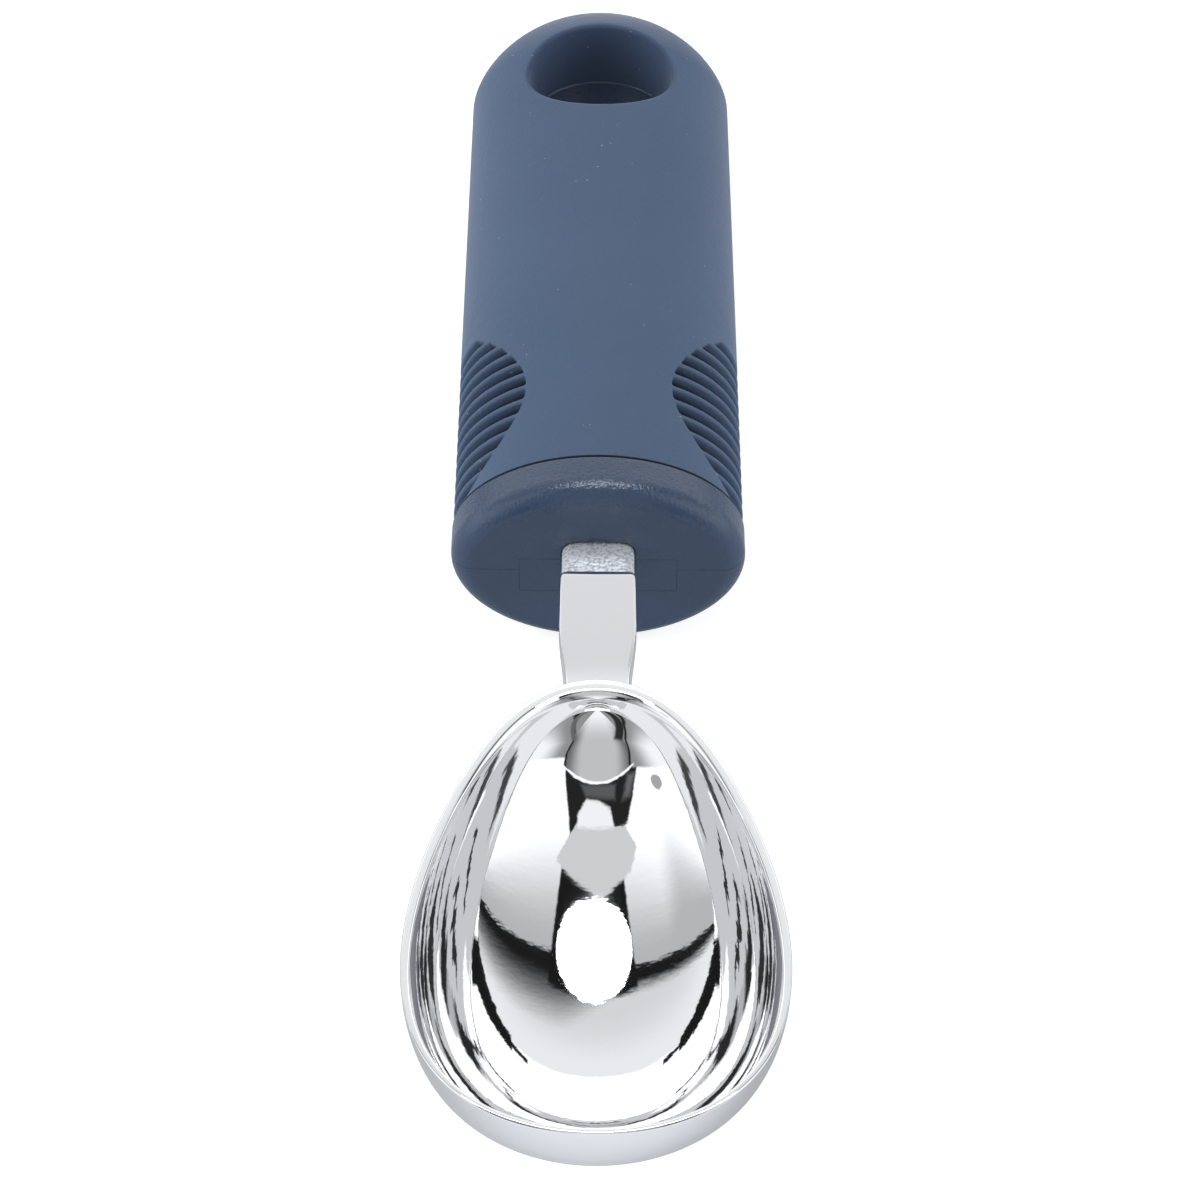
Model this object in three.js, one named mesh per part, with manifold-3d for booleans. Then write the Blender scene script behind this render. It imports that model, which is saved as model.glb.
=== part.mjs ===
// A watermelon scoop: a chrome-plated cast bowl on a short neck, whose tang is moulded into a hard
// plastic core, inside a soft grip with finger ribs and a hang hole.
// Millimetres, +Z up. +Y runs from the bowl's lip to the tail of the handle. Everything is built about
// the middle of the collar's face, where the mould parts, and the last step moves the origin to the table
// under the middle of the scoop. The bowl's belly and the handle's underside both touch the table.
import * as THREE from "three";
import { mergeVertices } from "three/addons/utils/BufferGeometryUtils.js";
import Module from "manifold-3d";

const wasm = await Module();
wasm.setup();

// Handle, measured from the collar's front face
const handleWidth = 32.8; // across the collar
const handleThickness = 22.2; // collar, top to bottom
const handleLength = 105.5; // collar face to tail tip
const tailLength = 17; // the rounded end
const tailShoulder = 0.27; // how long the tail's sides stay straight, and how blunt its tip is
const tailBluntness = 0.68;
const collarLength = 6.3; // collar that shows in front of the grip
const collarStep = 0.1; // collar stands proud of the grip, each side
const collarFillet = 2.8; // round edge of the collar's front face
const gripWall = 2.4; // soft grip over the hard core
const gripEdge = 0.2; // round front edge of the grip
const mouldGap = 0.3; // between pieces that are moulded onto each other

// Hang hole through the tail
const hangHoleDiameter = 17; // waist, at the mould's parting plane
const hangHoleInset = 21.5; // hole centre to tail tip
const hangHoleDraft = 3; // degrees, opening both ways from the waist
const hangHoleLining = 1.6; // soft grip round the hole, above and below the core's eye
const eyeThickness = 4; // ring of the core that shows in the hole

// Finger ribs, pressed into both sides of the grip
const flutePitch = 2.33;
const ribCrest = 0.33; // flat left on top of each rib
const fluteDepth = 1.6; // the grooves are deep, so the ribs between them bend under the fingers
const ribPatchMiddle = 20.7; // middle of the ribbed patch, from the collar face
const ribPatchLength = 32; // oval seen from the side, run out at the grip's front edge
const ribPatchLand = 1.65; // plain grip left above and below the patch

// Keys that lock the soft grip to the core, above and below
const keyPitch = 12;
const keyLength = 6;
const keyWidth = 14;
const keyDepth = 2;
const firstKey = 15; // first key's middle, from the collar face
const keyLand = 2; // least core between the last key and the eye's recess

// Neck and tang, one casting with the bowl
const neckLength = 23.1; // collar face to the bowl's back rim
const neckWidth = 8.4;
const neckTop = 3.8; // flat top, above the parting plane
const neckThickness = 6.5;
const neckFall = 7; // degrees that the flat top falls towards the bowl
const neckCorner = 0.35; // crisp edges of the flat top
const neckRound = 3.6; // round underside
const waistWidth = 6.2; // top of the neck just behind the bowl
const waistSpread = 0.6; // the neck's foot is this much wider there
const waistStart = 12; // where the neck starts to narrow
const neckBelly = 3.2; // the neck's underside drops this far as it runs into the bowl
const neckRun = 12.5; // how far the neck runs on inside the bowl's wall
const neckFlare = 4; // how far each side of the neck spreads into the bowl
const flareRun = 5; // the spread starts this far behind the rim and ends as far inside it
const rootLength = 4.5; // unpolished root in front of the collar
const rootCorner = 1.3;
const rootDepth = 3; // root that goes into the collar
const rootChamfer = 0.7; // round start of the polished faces
const tangLand = 12.5; // plastic between the tang's tip and the hang hole
const tangWidth = 7;
const tangTipWidth = 5.6;
const tangThickness = 5;
const lockHoleDiameter = 3.4; // plastic flows through these
const lockHoleFirst = 12; // first hole, from the root's end
const lockHolePitch = 30;
const lockHoleLand = 10; // least metal from the last hole's middle to the tang's tip

// Bowl, an egg cut level at the rim
const bowlLength = 62; // lip to back rim
const bowlWidth = 38.3;
const bowlDepth = 16.2;
const rimRise = 5.1; // rim above the parting plane
const lipToWidest = 22.5;
const rimBack = 2.3; // wall at the back of the rim
const rimSide = 1;
const rimLip = 0.7; // wall at the cutting lip
const bowlFloor = 1.8;
const backBluntness = 0.7; // how square the egg's back end is, and how long its widest part stays wide
const backShoulder = 0.2;
const lipBluntness = 0.66;
const lipShoulder = 0.59;
const keelBluntness = 0.55; // the same for the keel, seen from the side, at the lip

// Facets
const roundSegments = 40;
const bowlSegments = 48;
const holeSegments = 32;
const patchSegments = 32;
const curvePoints = 12;
const tailPoints = 7;
const fluteArcPoints = 4;
const cornerPoints = 3;
const barPoints = 5;

// Places that follow from the sizes
const half = 0.5;
const gripHalfWidth = handleWidth * half - collarStep;
const gripHalfThickness = handleThickness * half - collarStep;
const tailStart = handleLength - tailLength;
const hangHoleY = handleLength - hangHoleInset;
const eyeRadius = hangHoleDiameter * half + hangHoleLining + mouldGap;
const keySpace = hangHoleY - eyeRadius - keyLand - keyLength * half - firstKey;
const keyCount = Math.floor(keySpace / keyPitch) + 1;
const tangLength = hangHoleY - hangHoleDiameter * half - tangLand - rootDepth;
const lockHoleCount = Math.floor((tangLength - lockHoleFirst - lockHoleLand) / lockHolePitch) + 1;
const fluteWidth = flutePitch - ribCrest;
const fluteCount = Math.floor((ribPatchLength - fluteWidth) / flutePitch);
const ribPatchRise = gripHalfThickness - ribPatchLand;
const lipY = -neckLength - bowlLength;
const tableDrop = Math.max(handleThickness * half, bowlDepth - rimRise);

// Turns a closed geometry into a solid that can be joined and cut.
function solid(geometry) {
  const bare = geometry.index ? geometry.toNonIndexed() : geometry.clone();
  bare.deleteAttribute("normal");
  bare.deleteAttribute("uv");
  const merged = mergeVertices(bare, 1e-4);
  const vertices = merged.getAttribute("position").array;
  const corners = merged.index.array;
  const triangles = [];
  let volume = 0;
  const [a, b, c] = [new THREE.Vector3(), new THREE.Vector3(), new THREE.Vector3()];
  for (let i = 0; i < corners.length; i += 3) {
    const [p, q, r] = [corners[i], corners[i + 1], corners[i + 2]];
    if (p === q || q === r || r === p) continue;
    triangles.push(p, q, r);
    a.fromArray(vertices, p * 3);
    b.fromArray(vertices, q * 3);
    c.fromArray(vertices, r * 3);
    volume += a.dot(b.cross(c));
  }
  if (volume < 0) triangles.reverse();
  const triVerts = Uint32Array.from(triangles);
  return new wasm.Manifold(new wasm.Mesh({ numProp: 3, vertProperties: vertices, triVerts }));
}

// A profile of (radius, y) points turned about the Y axis, then pressed flat to an oval section.
function ovalTurning(profile, segments, flatness) {
  const geometry = new THREE.LatheGeometry(profile, segments);
  geometry.scale(1, 1, flatness);
  return geometry;
}

// A turned profile pressed flat by the same amount at every radius, so grooves are as deep on top as beside.
function pressedTurning(profile, segments, press) {
  const geometry = new THREE.LatheGeometry(profile, segments);
  const points = geometry.attributes.position;
  for (let i = 0; i < points.count; i++) {
    const radius = Math.hypot(points.getX(i), points.getZ(i));
    if (radius > 0) points.setZ(i, points.getZ(i) * (1 - press / radius));
  }
  return geometry;
}

// A closed skin over rings of points that all have the same count, with flat ends.
function loft(rings) {
  const count = rings[0].length;
  const positions = [];
  const indices = [];
  for (const ring of rings) {
    for (const point of ring) positions.push(point.x, point.y, point.z);
  }
  for (let row = 0; row + 1 < rings.length; row++) {
    for (let i = 0; i < count; i++) {
      const here = row * count + i;
      const next = row * count + ((i + 1) % count);
      indices.push(here, next, next + count, here, next + count, here + count);
    }
  }
  const ends = [0, (rings.length - 1) * count];
  for (const [side, start] of ends.entries()) {
    for (let i = 1; i + 1 < count; i++) {
      const turn = side === 0 ? [i + 1, i] : [i, i + 1];
      indices.push(start, start + turn[0], start + turn[1]);
    }
  }
  const geometry = new THREE.BufferGeometry();
  geometry.setAttribute("position", new THREE.Float32BufferAttribute(positions, 3));
  geometry.setIndex(indices);
  return geometry;
}

// A bar's section: a flat top with crisp edges, and a rounder foot that may differ in width.
function barOutline(topWidth, footWidth, topZ, footZ, corner, fullRound) {
  const shape = new THREE.Shape();
  const [t, f] = [topWidth * half, footWidth * half];
  const round = Math.min(fullRound, f - corner, topZ - footZ - 2 * corner);
  shape.moveTo(-f + round, footZ);
  shape.lineTo(f - round, footZ);
  shape.quadraticCurveTo(f, footZ, f, footZ + round);
  shape.lineTo(t, topZ - corner);
  shape.quadraticCurveTo(t, topZ, t - corner, topZ);
  shape.lineTo(-t + corner, topZ);
  shape.quadraticCurveTo(-t, topZ, -t, topZ - corner);
  shape.lineTo(-f, footZ + round);
  shape.quadraticCurveTo(-f, footZ, -f + round, footZ);
  return shape;
}

// The same section as a ring of points across the handle's axis.
function barRing(y, ...sizes) {
  const points = barOutline(...sizes).getPoints(barPoints);
  points.pop();
  return points.map((p) => new THREE.Vector3(p.x, y, p.y));
}

// Half the outline of an egg, from its lip on the axis to its back end on the axis.
function eggProfile(length, a, lipPart, bluntness) {
  const back = length - lipPart;
  const lip = new THREE.CubicBezierCurve(
    new THREE.Vector2(0, 0),
    new THREE.Vector2(a * bluntness, 0),
    new THREE.Vector2(a, lipPart * (1 - lipShoulder)),
    new THREE.Vector2(a, lipPart),
  );
  const tail = new THREE.CubicBezierCurve(
    new THREE.Vector2(a, lipPart),
    new THREE.Vector2(a, lipPart + back * backShoulder),
    new THREE.Vector2(a * backBluntness, length),
    new THREE.Vector2(0, length),
  );
  const points = lip.getPoints(curvePoints);
  points.pop();
  return points.concat(tail.getPoints(curvePoints));
}

// An egg whose long axis lies in the rim plane: oval rings between its plan and its keel.
function egg(length, width, depth, lipPart, startY) {
  const plan = eggProfile(length, width * half, lipPart, lipBluntness);
  const keel = eggProfile(length, depth, lipPart, keelBluntness);
  const rings = plan.map((point, row) => {
    const oval = new THREE.EllipseCurve(0, 0, point.x, keel[row].x);
    const points = oval.getPoints(bowlSegments).slice(1);
    return points.map((p) => new THREE.Vector3(p.x, startY + point.y, rimRise + p.y));
  });
  return solid(loft(rings));
}

// The rounded tail, as part of a turned profile that ends on the axis.
function tailCurve(radius, length) {
  const tip = tailStart + length;
  const curve = new THREE.CubicBezierCurve(
    new THREE.Vector2(radius, tailStart),
    new THREE.Vector2(radius, tailStart + length * tailShoulder),
    new THREE.Vector2(radius * tailBluntness, tip),
    new THREE.Vector2(0, tip),
  );
  return curve.getPoints(tailPoints);
}

// An oval bar from y = start to the rounded tail, with a round front edge.
function handleForm(halfWidth, halfThickness, start, edge, tail) {
  const profile = [new THREE.Vector2(0, start)];
  for (let i = 0; i <= cornerPoints; i++) {
    const turn = (Math.PI * half * i) / cornerPoints;
    const inset = edge * (1 - Math.sin(turn));
    profile.push(new THREE.Vector2(halfWidth - inset, start + edge * (1 - Math.cos(turn))));
  }
  profile.push(...tailCurve(halfWidth, tail));
  return solid(ovalTurning(profile, roundSegments, halfThickness / halfWidth));
}

// A round hole through the tail, waisted at the parting plane as a two-part mould leaves it.
function hangHole(waistRadius) {
  const reach = handleThickness;
  const mouth = waistRadius + reach * Math.tan(THREE.MathUtils.degToRad(hangHoleDraft));
  const profile = [
    new THREE.Vector2(0, -reach),
    new THREE.Vector2(mouth, -reach),
    new THREE.Vector2(waistRadius, 0),
    new THREE.Vector2(mouth, reach),
    new THREE.Vector2(0, reach),
  ];
  const geometry = new THREE.LatheGeometry(profile, holeSegments);
  geometry.rotateX(Math.PI * half);
  geometry.translate(0, hangHoleY, 0);
  return solid(geometry);
}

// The root and tang behind the neck. With a gap it is the pocket that the core needs round it.
function stem(gap) {
  const width = neckWidth + 2 * gap;
  const foot = neckTop - neckThickness;
  const outline = barOutline(
    width,
    width,
    neckTop + gap,
    foot - gap,
    rootCorner + gap,
    neckRound + gap,
  );
  const root = new THREE.ExtrudeGeometry(outline, {
    depth: rootLength + rootDepth + gap,
    bevelEnabled: false,
    curveSegments: barPoints,
  });
  root.rotateX(Math.PI * half);
  root.translate(0, rootDepth + gap, 0);

  const tipY = tangLength + gap;
  const tip = tangTipWidth * half + gap;
  const plan = new THREE.Shape();
  plan.moveTo(-tangWidth * half - gap, -rootDepth * half);
  plan.lineTo(tangWidth * half + gap, -rootDepth * half);
  plan.lineTo(tip, tipY - tip);
  plan.absarc(0, tipY - tip, tip, 0, Math.PI);
  plan.closePath();
  for (let i = 0; i < lockHoleCount; i++) {
    const hole = new THREE.Path();
    hole.absarc(0, lockHoleFirst + i * lockHolePitch, lockHoleDiameter * half - gap, 0, Math.PI * 2);
    plan.holes.push(hole);
  }
  const tang = new THREE.ExtrudeGeometry(plan, {
    depth: tangThickness + 2 * gap,
    bevelEnabled: false,
    curveSegments: curvePoints,
  });
  tang.translate(0, rootDepth, -tangThickness * half - gap);
  return solid(root).add(solid(tang));
}

// The polished bar from the root to the bowl: it narrows to a waist, then spreads into the bowl's wall.
function neck() {
  const foot = neckTop - neckThickness;
  const end = neckLength + neckRun;
  const rings = [];
  const add = (s, trim) => {
    const narrow = THREE.MathUtils.smoothstep(s, waistStart, neckLength);
    const into = THREE.MathUtils.clamp((s - neckLength + flareRun) / (2 * flareRun), 0, 1);
    const flare = neckFlare * into * into;
    const along = THREE.MathUtils.clamp((s - waistStart) / (end - waistStart), 0, 1);
    const drop = neckBelly * along * along;
    const topWidth = neckWidth - (neckWidth - waistWidth) * narrow + 2 * (flare - trim);
    const footWidth = topWidth + waistSpread * narrow - flare;
    const fall = Math.tan(THREE.MathUtils.degToRad(neckFall)) * (s - rootLength);
    const rise = neckTop - fall + flare * half;
    rings.push(barRing(-s, topWidth, footWidth, rise, foot - drop, neckCorner, neckRound));
  };
  for (let i = 0; i <= cornerPoints; i++) {
    const turn = (Math.PI * half * i) / cornerPoints;
    add(rootLength + rootChamfer * (1 - Math.cos(turn)), rootChamfer * (1 - Math.sin(turn)));
  }
  for (let i = 0; i <= curvePoints; i++) add(waistStart + ((end - waistStart) * i) / curvePoints, 0);
  return solid(loft(rings));
}

// Cast head: egg shell with a level rim, neck, root and tang in one piece.
function scoopHead() {
  const outer = egg(bowlLength, bowlWidth, bowlDepth, lipToWidest, lipY);
  const inner = egg(
    bowlLength - rimBack - rimLip,
    bowlWidth - 2 * rimSide,
    bowlDepth - bowlFloor,
    lipToWidest - rimLip,
    lipY + rimLip,
  );
  const above = new THREE.BoxGeometry(2 * bowlWidth, 2 * bowlLength, 2 * bowlDepth);
  above.translate(0, lipY + bowlLength * half, rimRise + bowlDepth);
  return outer.add(neck()).subtract(inner).subtract(solid(above)).add(stem(0));
}

// Hard core: collar, spine and eye. With a gap it is the pocket that the soft grip needs round it.
function core(gap) {
  const shrink = gripWall + mouldGap - gap;
  const spine = handleForm(
    gripHalfWidth - shrink,
    gripHalfThickness - shrink,
    collarFillet,
    0,
    tailLength - shrink,
  );
  let body = spine.subtract(hangHole(hangHoleDiameter * half - gap));
  const recess = eyeRadius - gap;
  const keyFloor = gripHalfThickness - gripWall - mouldGap - keyDepth + gap;
  const reach = handleThickness;
  for (const side of [-1, 1]) {
    const eye = new THREE.CylinderGeometry(recess, recess, reach, holeSegments);
    eye.rotateX(Math.PI * half);
    const eyeRise = eyeThickness * half + gap + reach * half;
    eye.translate(0, hangHoleY, side * eyeRise);
    body = body.subtract(solid(eye));
    for (let i = 0; i < keyCount; i++) {
      const key = new THREE.BoxGeometry(keyWidth - 2 * gap, keyLength - 2 * gap, reach);
      key.translate(0, firstKey + i * keyPitch, side * (keyFloor + reach * half));
      body = body.subtract(solid(key));
    }
  }
  return body;
}

// Collar: an oval disc with a round front edge and a flat face.
function collar() {
  const a = handleWidth * half;
  const profile = [new THREE.Vector2(0, 0)];
  for (let i = 0; i <= cornerPoints * 2; i++) {
    const turn = (Math.PI * half * i) / (cornerPoints * 2);
    const inset = collarFillet * (1 - Math.sin(turn));
    profile.push(new THREE.Vector2(a - inset, collarFillet * (1 - Math.cos(turn))));
  }
  profile.push(new THREE.Vector2(a, collarLength), new THREE.Vector2(0, collarLength));
  return solid(ovalTurning(profile, roundSegments, handleThickness / handleWidth));
}

// Grooves with a half-oval section within an oval patch on each side, whose edge runs square to the grip.
function fingerFlutes() {
  const a = gripHalfWidth;
  const proud = collarStep;
  const first = ribPatchMiddle - (fluteCount - 1) * flutePitch * half;
  const start = ribPatchMiddle - ribPatchLength;
  const stop = ribPatchMiddle + ribPatchLength;
  const profile = [new THREE.Vector2(0, start), new THREE.Vector2(a + proud, start)];
  for (let k = 0; k < fluteCount; k++) {
    for (let i = 0; i <= fluteArcPoints; i++) {
      const turn = (Math.PI * i) / fluteArcPoints;
      const r = i % fluteArcPoints === 0 ? a + proud : a - fluteDepth * Math.sin(turn);
      profile.push(new THREE.Vector2(r, first + k * flutePitch - fluteWidth * half * Math.cos(turn)));
    }
  }
  profile.push(new THREE.Vector2(a + proud, stop), new THREE.Vector2(0, stop));
  const barrel = pressedTurning(profile, roundSegments, a - gripHalfThickness);

  const ring = (side, scale) => {
    const points = [];
    for (let i = 0; i < patchSegments; i++) {
      const turn = (Math.PI * 2 * i) / patchSegments;
      const y = ribPatchMiddle + ribPatchLength * half * Math.cos(turn);
      const z = ribPatchRise * Math.sin(turn);
      const x = a * Math.sqrt(1 - (z / gripHalfThickness) ** 2);
      points.push(new THREE.Vector3(side * x * scale, y, z * scale));
    }
    return points;
  };
  const patch = (side) => solid(loft([ring(side, half), ring(side, 1 + half)]));
  return patch(-1).add(patch(1)).subtract(solid(barrel));
}

// Soft grip, moulded over the core up to the collar.
function gripSleeve() {
  const start = collarLength + mouldGap;
  const outer = handleForm(gripHalfWidth, gripHalfThickness, start, gripEdge, tailLength);
  return outer
    .subtract(core(mouldGap))
    .subtract(hangHole(hangHoleDiameter * half))
    .subtract(fingerFlutes());
}

// Gives a solid back as a named mesh with its own material.
function piece(name, made, colour, roughness, metalness) {
  const mesh = made.getMesh();
  const geometry = new THREE.BufferGeometry();
  geometry.setAttribute("position", new THREE.BufferAttribute(mesh.vertProperties, 3));
  geometry.setIndex(new THREE.BufferAttribute(mesh.triVerts, 1));
  geometry.computeVertexNormals();
  const material = new THREE.MeshStandardMaterial({ color: colour, roughness, metalness });
  const result = new THREE.Mesh(geometry, material);
  result.name = name;
  return result;
}

const scoop = new THREE.Group();
scoop.position.set(0, -(handleLength + lipY) * half, tableDrop);
scoop.add(piece("scoop_head", scoopHead(), 0xd7dadb, 0.08, 1));
scoop.add(piece("handle_core", collar().add(core(0)).subtract(stem(mouldGap)), 0x454e5c, 0.55, 0));
scoop.add(piece("grip_sleeve", gripSleeve(), 0x55647d, 0.75, 0));

export default scoop;
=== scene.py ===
# %% [markdown]
# A watermelon scoop, dressed for its portrait.
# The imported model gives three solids: a cast head, a hard handle core and a soft grip. They are right in
# size but made of flat facets, and a mirror-polished bowl shows every facet. So each solid is modelled
# again here with smooth skins of the same size, and gets a finish that is worth looking at.

# %% Load the frame and the tools
import math

import bmesh
import bpy
from mathutils import Matrix, Vector


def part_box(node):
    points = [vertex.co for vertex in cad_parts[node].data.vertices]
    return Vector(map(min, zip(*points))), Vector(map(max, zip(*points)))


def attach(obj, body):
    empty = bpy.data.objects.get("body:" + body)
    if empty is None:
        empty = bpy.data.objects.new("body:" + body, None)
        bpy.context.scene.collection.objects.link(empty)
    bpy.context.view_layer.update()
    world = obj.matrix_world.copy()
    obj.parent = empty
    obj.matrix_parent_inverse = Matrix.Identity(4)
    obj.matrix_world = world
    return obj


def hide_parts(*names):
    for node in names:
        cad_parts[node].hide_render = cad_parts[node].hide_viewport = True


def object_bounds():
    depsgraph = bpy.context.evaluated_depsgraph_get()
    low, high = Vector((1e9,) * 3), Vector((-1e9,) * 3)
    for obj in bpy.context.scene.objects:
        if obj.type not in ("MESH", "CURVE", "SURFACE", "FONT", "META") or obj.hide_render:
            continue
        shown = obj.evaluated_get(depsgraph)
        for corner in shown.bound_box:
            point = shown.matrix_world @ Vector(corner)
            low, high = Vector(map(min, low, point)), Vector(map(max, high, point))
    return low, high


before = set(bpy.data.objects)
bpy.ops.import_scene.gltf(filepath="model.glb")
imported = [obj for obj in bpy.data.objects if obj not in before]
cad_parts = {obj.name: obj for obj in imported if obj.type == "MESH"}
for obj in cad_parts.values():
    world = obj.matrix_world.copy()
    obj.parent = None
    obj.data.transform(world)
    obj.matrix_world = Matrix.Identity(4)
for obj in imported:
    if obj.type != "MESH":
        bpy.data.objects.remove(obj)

cad_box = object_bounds()
core_low, core_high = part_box("handle_core")
print("frame holds", sorted(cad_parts), "within", cad_box)

# %% [markdown]
# Every piece is drawn in millimetres about the middle of the collar's front face, the oval disc where the
# handle starts. There, y is 0 at the face and grows towards the tail, and z is 0 on the plane where the
# mould parts. One matrix then carries a finished piece to its place in the frame, in metres, so no object
# has to be moved or scaled.

# %% From the drawing to the frame
MM = 0.001
COLLAR_Y = core_low[1]
PARTING_Z = (core_low[2] + core_high[2]) / 2
TO_FRAME = Matrix.Translation((0, COLLAR_Y, PARTING_Z)) @ Matrix.Scale(MM, 4)
SAME_POINT = 1e-4


def all_of(bm):
    return bm.verts[:] + bm.edges[:] + bm.faces[:]


def show(bm, name):
    """Turns a drawing into an object of the scene, just as it is."""
    mesh = bpy.data.meshes.new(name)
    bm.to_mesh(mesh)
    bm.free()
    made = bpy.data.objects.new(name, mesh)
    bpy.context.scene.collection.objects.link(made)
    return made


def settle(bm, name, sharp_degrees):
    """Turns a finished drawing into an object of the frame, smooth but for edges sharper than the angle."""
    bmesh.ops.remove_doubles(bm, verts=bm.verts, dist=SAME_POINT)
    bmesh.ops.recalc_face_normals(bm, faces=bm.faces)
    bmesh.ops.transform(bm, matrix=TO_FRAME, verts=bm.verts)
    limit = math.radians(sharp_degrees)
    for face in bm.faces:
        face.smooth = True
    for edge in bm.edges:
        edge.smooth = len(edge.link_faces) == 2 and edge.calc_face_angle(0) < limit
    made = show(bm, name)
    print(name, len(made.data.polygons), "faces")
    return made


# %% [markdown]
# The photograph looks down the scoop from in front of the bowl, with a long lens. A camera can be placed by
# eye and nudged, but here its height, distance and lens were worked out from the outline of the handle, so
# they are written down as numbers. The camera is turned a touch about its own axis because the scoop leans
# a little in the picture.

# %% Camera
EYE_BEFORE_COLLAR = 0.3130
EYE_ABOVE_PARTING = 0.27729
LOOK_DOWN = math.radians(42)
CAMERA_ROLL = 0.005
SENSOR = 36.0
FOCAL_PIXELS = 3768
IMAGE_PIXELS = 1200
CENTRE_OFFSET_PIXELS = 2.1

camera_data = bpy.data.cameras.new("camera")
camera_data.sensor_width = SENSOR
camera_data.lens = FOCAL_PIXELS / IMAGE_PIXELS * SENSOR
camera_data.shift_x = CENTRE_OFFSET_PIXELS / IMAGE_PIXELS
camera = bpy.data.objects.new("camera", camera_data)
ahead = Vector((0, math.cos(LOOK_DOWN), -math.sin(LOOK_DOWN)))
level_right = Vector((1, 0, 0))
level_up = level_right.cross(ahead)
right = level_right * math.cos(CAMERA_ROLL) + level_up * math.sin(CAMERA_ROLL)
up = level_up * math.cos(CAMERA_ROLL) - level_right * math.sin(CAMERA_ROLL)
camera.matrix_world = Matrix((right, up, -ahead)).transposed().to_4x4()
camera.location = (0, COLLAR_Y - EYE_BEFORE_COLLAR, PARTING_Z + EYE_ABOVE_PARTING)
bpy.context.scene.collection.objects.link(camera)
bpy.context.scene.camera = camera
print("camera at", tuple(round(value, 4) for value in camera.location), "lens", round(camera_data.lens, 1))

# %% [markdown]
# The bowl is half an egg with a mirror finish. A lathe or a sphere with poles would put a pinch point where
# all its edges meet, and a mirror shows that as a star. A cube that is cut fine and blown up to a ball has
# no poles, and its middle edge loop lies exactly where the rim goes. The ball becomes an egg when its width
# and its depth are multiplied by a smooth curve along its length, so the reflections flow without a kink.

# %% Half a ball from a cube
BALL_CUTS = 71


def half_ball():
    """Lower half of a ball of radius 1, made of even quads with no poles."""
    bm = bmesh.new()
    bmesh.ops.create_cube(bm, size=2)
    bmesh.ops.subdivide_edges(bm, edges=bm.edges, cuts=BALL_CUTS, use_grid_fill=True)
    for vert in bm.verts:
        vert.co = Vector([math.tan(part * math.pi / 4) for part in vert.co]).normalized()
    bmesh.ops.bisect_plane(bm, geom=all_of(bm), dist=1e-6, plane_no=(0, 0, 1), clear_outer=True)
    return bm


# %% The egg
NECK_LENGTH = 23.1
BOWL_LENGTH = 62.0
BOWL_HALF_WIDTH = 19.15
BOWL_DEPTH = 16.2
RIM_RISE = 5.1
RIM_BACK = 2.3
RIM_SIDE = 1.0
RIM_LIP = 0.7
BOWL_FLOOR = 1.8
LIP_Y = -NECK_LENGTH - BOWL_LENGTH
# How wide and how deep the egg is along its length, against a ball: the fuller end is at the lip
PLAN_CURVE = (0.9611, -0.2632, 0.0804, -0.0038, 0.0736)
KEEL_CURVE = (0.9607, -0.2761, 0.0696, 0.0906)


def swell(curve, along):
    return sum(part * along ** power for power, part in enumerate(curve))


class Egg:
    """An egg whose long axis lies in the rim plane."""

    def __init__(self, length, half_width, depth, lip_y):
        self.half_length = length / 2
        self.half_width = half_width
        self.depth = depth
        self.middle_y = lip_y + length / 2

    def place(self, ball_point):
        along = ball_point.y
        x = ball_point.x * self.half_width * swell(PLAN_CURVE, along)
        z = ball_point.z * self.depth * swell(KEEL_CURVE, along)
        return Vector((x, self.middle_y + along * self.half_length, RIM_RISE + z))

    def holds(self, point):
        along = (point.y - self.middle_y) / self.half_length
        if abs(along) >= 1:
            return False
        x = point.x / (self.half_width * swell(PLAN_CURVE, along))
        z = (point.z - RIM_RISE) / (self.depth * swell(KEEL_CURVE, along))
        return x * x + z * z + along * along < 1


def shrunk_egg(part):
    """The outer egg for part 0, the inner one for part 1, and the middle of the wall between."""
    length = BOWL_LENGTH - part * (RIM_BACK + RIM_LIP)
    half_width = BOWL_HALF_WIDTH - part * RIM_SIDE
    return Egg(length, half_width, BOWL_DEPTH - part * BOWL_FLOOR, LIP_Y + part * RIM_LIP)


outer_egg, inner_egg, wall_middle = shrunk_egg(0), shrunk_egg(1), shrunk_egg(0.5)
print("bowl from y", round(LIP_Y, 1), "to", round(-NECK_LENGTH, 1), "mm")

# %% A ring that can be extruded again and again


def first_ring(bm, places):
    ring = bmesh.ops.create_circle(bm, segments=len(places), radius=1)["verts"]
    for vert, place in zip(ring, places):
        vert.co = place
    return ring


def extrude_ring(bm, ring, places):
    """Extrudes a closed ring of vertices once, and puts the new vertices at the places given."""
    edges = [bm.edges.get(pair) for pair in zip(ring, ring[1:] + ring[:1])]
    made = bmesh.ops.extrude_edge_only(bm, edges=edges)["geom"]
    fresh = {tuple(item.co): item for item in made if isinstance(item, bmesh.types.BMVert)}
    grown = [fresh[tuple(vert.co)] for vert in ring]
    for vert, place in zip(grown, places):
        vert.co = place
    return grown


def close_ring(bm, ring):
    edges = [bm.edges.get(pair) for pair in zip(ring, ring[1:] + ring[:1])]
    bmesh.ops.edgeloop_fill(bm, edges=edges)


# %% Bowl shell with a rounded rim
OUTER_ROUND = 0.2
ROUND_SHARE = 0.42
RIM_STEPS = 9
DIP_FADE = math.radians(40)


def round_size(spot):
    """Size of the round inside the rim, a share of the rim's width, at a point of the ball's equator."""
    return ROUND_SHARE * (outer_egg.place(spot) - inner_egg.place(spot)).length


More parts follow.
